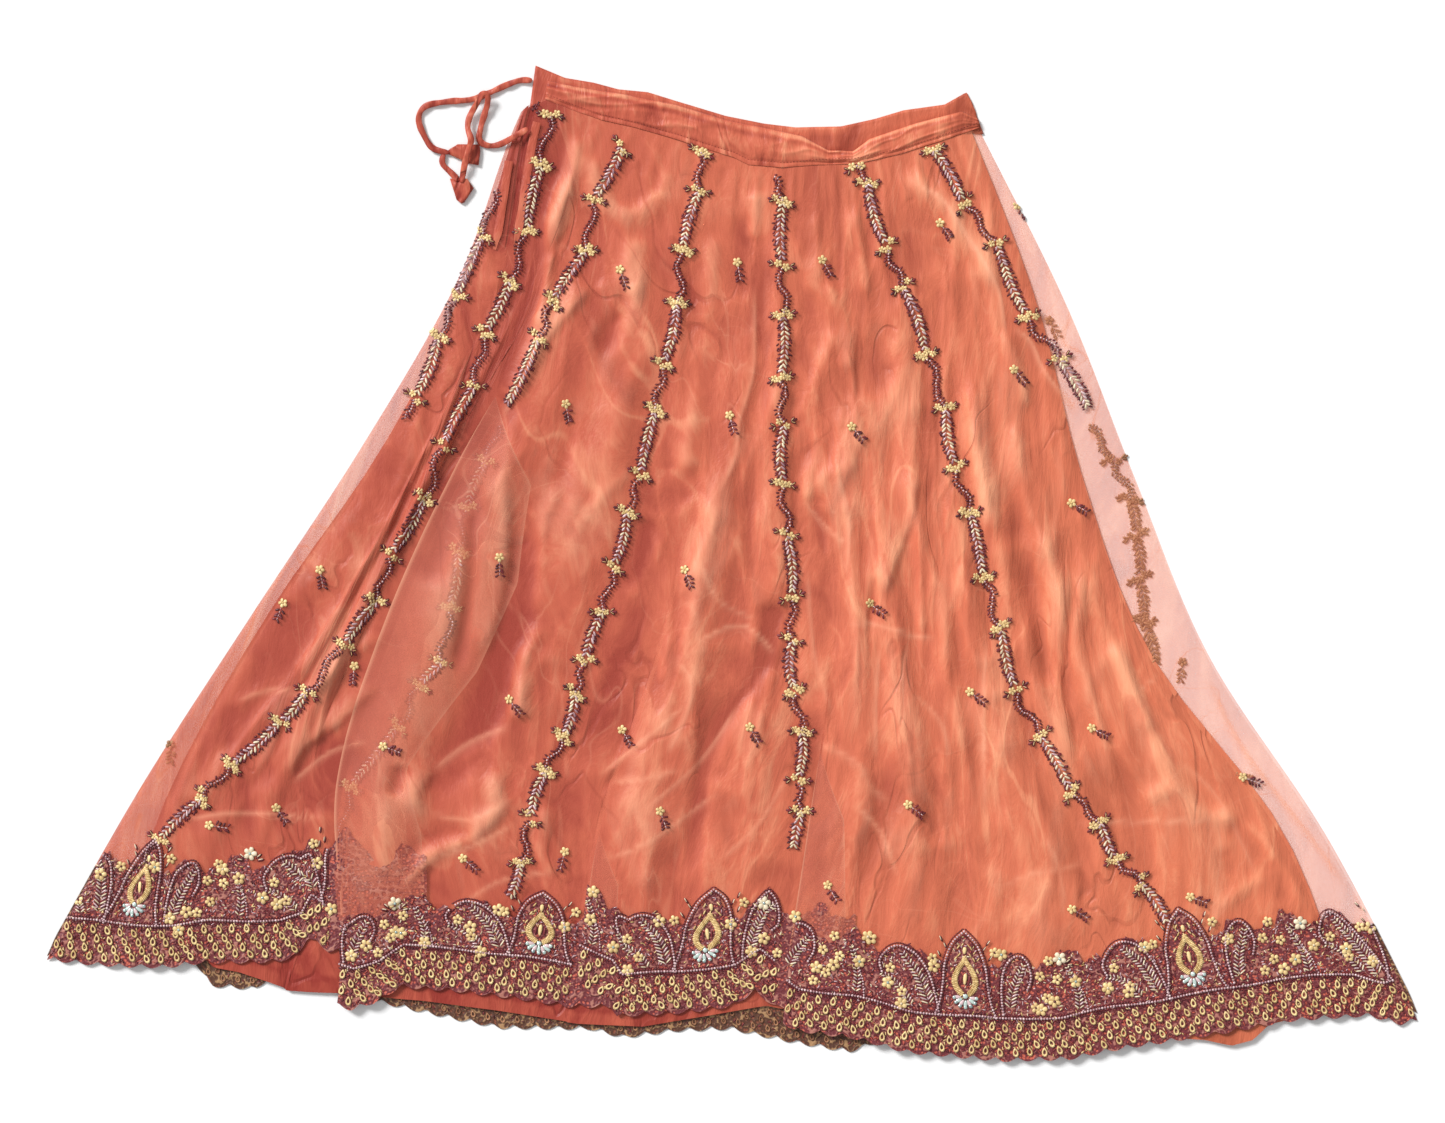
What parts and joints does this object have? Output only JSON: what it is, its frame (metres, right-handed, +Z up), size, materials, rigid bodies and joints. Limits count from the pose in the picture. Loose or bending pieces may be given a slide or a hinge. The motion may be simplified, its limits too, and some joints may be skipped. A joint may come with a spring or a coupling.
{
  "type": "lehenga skirt",
  "caption": "Coral lehenga skirt laid flat: satin lining, embroidered net overlay, scalloped hem border, waistband with a drawstring.",
  "frame": {"origin": "centre of the skirt's footprint, on the surface that it lies on", "axes": "+X across the skirt from the slit's side to the other side, +Y from the hem to the waist, +Z up from the surface"},
  "size_m": [1.441, 1.0458, 0.0199],
  "materials": {
    "satin": "satin",
    "drawstring_satin": "satin",
    "net": "matte",
    "border_embroidery": "satin",
    "vine_embroidery": "satin"
  },
  "bodies": {
    "root": {"lining_back": "satin", "lining_front": "satin", "waistband_back": "satin", "waistband_front": "satin", "placket_back": "satin", "placket_front": "satin", "tie_lower": "drawstring_satin", "tie_upper": "drawstring_satin", "tie_tail": "drawstring_satin", "leaf_1": "drawstring_satin", "leaf_2": "drawstring_satin", "net_back": "net", "net_front": "net", "border_back": "border_embroidery", "border_front": "border_embroidery", "vine_1": "vine_embroidery", "vine_2": "vine_embroidery", "vine_3": "vine_embroidery", "vine_4": "vine_embroidery", "vine_5": "vine_embroidery", "vine_6": "vine_embroidery", "vine_7": "vine_embroidery"}
  },
  "joints": []
}
